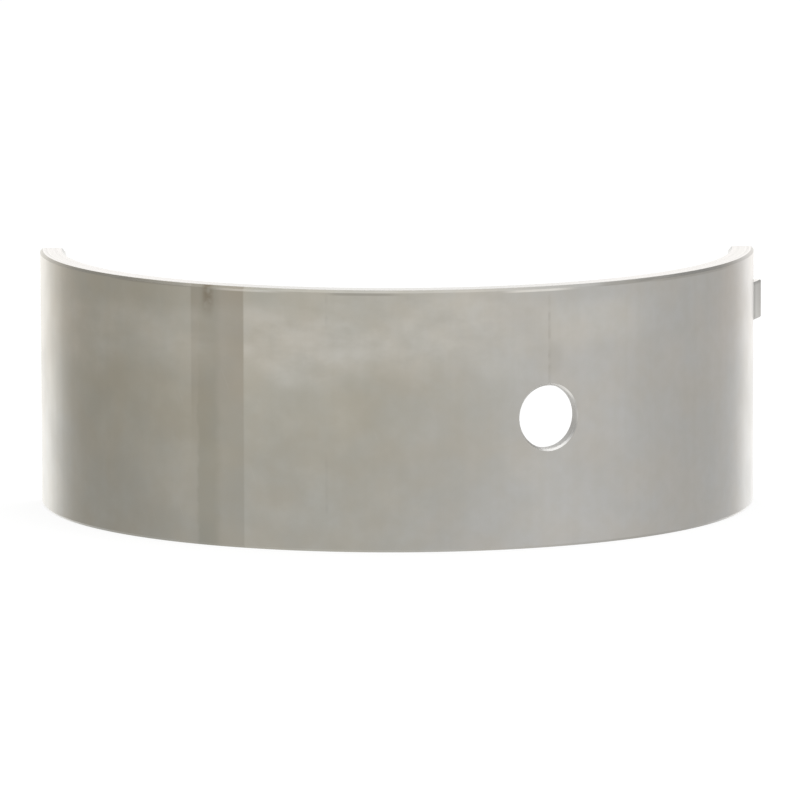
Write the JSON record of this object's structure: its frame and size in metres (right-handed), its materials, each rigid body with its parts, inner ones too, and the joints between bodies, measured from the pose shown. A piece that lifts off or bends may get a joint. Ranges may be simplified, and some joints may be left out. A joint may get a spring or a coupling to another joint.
{
  "type": "engine bearing shell",
  "caption": "Half-round plain bearing shell with a locating lug, an oil hole and an oil groove, for a crankshaft main journal.",
  "frame": {"origin": "on the bearing axis, in the plane of the two joint faces, midway between the side faces", "axes": "+Z along the bearing axis, up as the shell stands on its side face; -Y towards the crown of the back; +X towards the joint face with the lug"},
  "size_m": [0.0708, 0.035, 0.025],
  "materials": {
    "shell_steel": "satin steel back, lightly stained, with a fine-bored running surface"
  },
  "bodies": {
    "root": {"bearing_shell": "shell_steel"}
  },
  "joints": []
}
